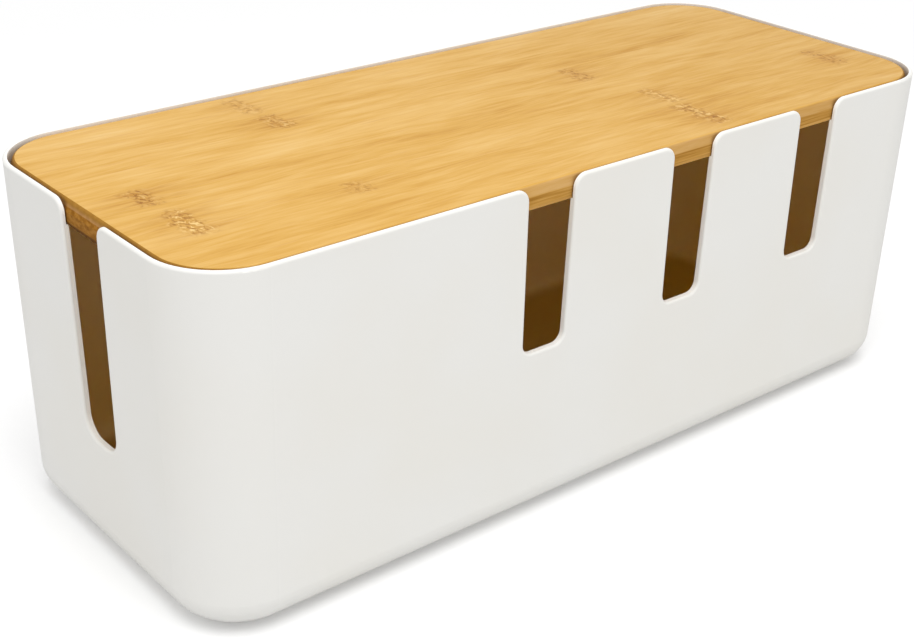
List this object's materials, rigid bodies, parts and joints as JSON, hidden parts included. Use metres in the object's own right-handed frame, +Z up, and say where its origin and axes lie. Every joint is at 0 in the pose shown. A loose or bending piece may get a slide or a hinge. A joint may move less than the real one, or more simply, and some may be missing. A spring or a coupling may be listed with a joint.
{
  "type": "cable management box",
  "caption": "Long round-cornered plastic tub with open-topped cable slots in one side and one end, closed by a drop-in bamboo lid that rests inside the rim.",
  "frame": {"origin": "centre of the footprint, on the surface that the foot pads stand on", "axes": "+X along the length, away from the end wall with the slot; -Y towards the long wall with the row of slots; +Z up"},
  "size_m": [0.32, 0.13, 0.12],
  "materials": {
    "tub_plastic": "satin moulded",
    "bamboo": "clear matte lacquer",
    "pad_rubber": "matte"
  },
  "bodies": {
    "base": {"tub": "tub_plastic", "foot_pad_front_left": "pad_rubber", "foot_pad_front_right": "pad_rubber", "foot_pad_rear_left": "pad_rubber", "foot_pad_rear_right": "pad_rubber"},
    "cover": {"lid": "bamboo"}
  },
  "joints": [
    {"name": "lid_lift", "type": "slide", "parent": "base", "child": "cover", "axis": [0, 0, 1], "range_m": [0, 0.15]}
  ]
}
